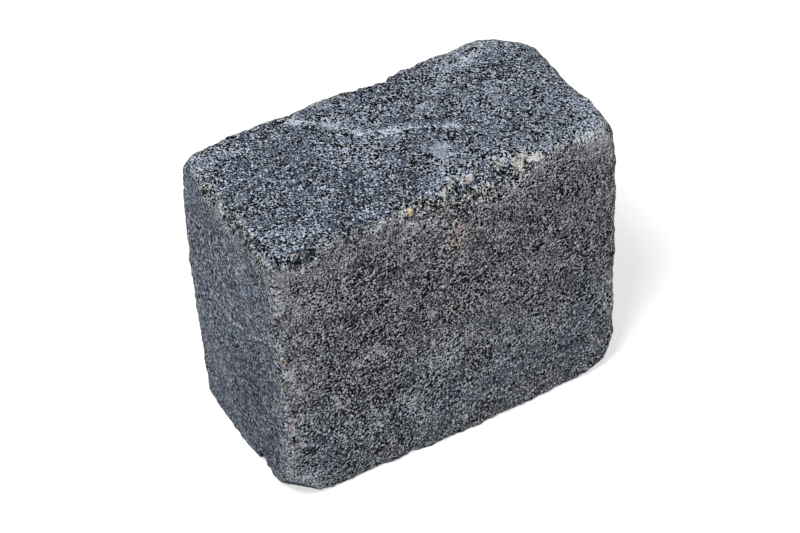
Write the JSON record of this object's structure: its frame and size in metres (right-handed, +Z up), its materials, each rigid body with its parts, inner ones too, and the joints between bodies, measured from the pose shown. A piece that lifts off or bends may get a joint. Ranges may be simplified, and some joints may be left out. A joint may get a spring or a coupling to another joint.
{
  "type": "kerbstone",
  "caption": "Rectangular concrete kerb block, tall on edge, with worn, chipped arrises and rounded corners; stands on its bed in a row of like blocks.",
  "frame": {"origin": "centre of the bed, the flat face that the block stands on", "axes": "+X along the kerb line, from the left end to the right end as seen from in front; +Y from the front face to the back face; +Z up"},
  "size_m": [0.2, 0.102, 0.168],
  "materials": {
    "concrete": "anthracite grey tumbled concrete, matt and open grained, browner on the worn arrises"
  },
  "bodies": {
    "root": {"kerbstone": "concrete"}
  },
  "joints": []
}
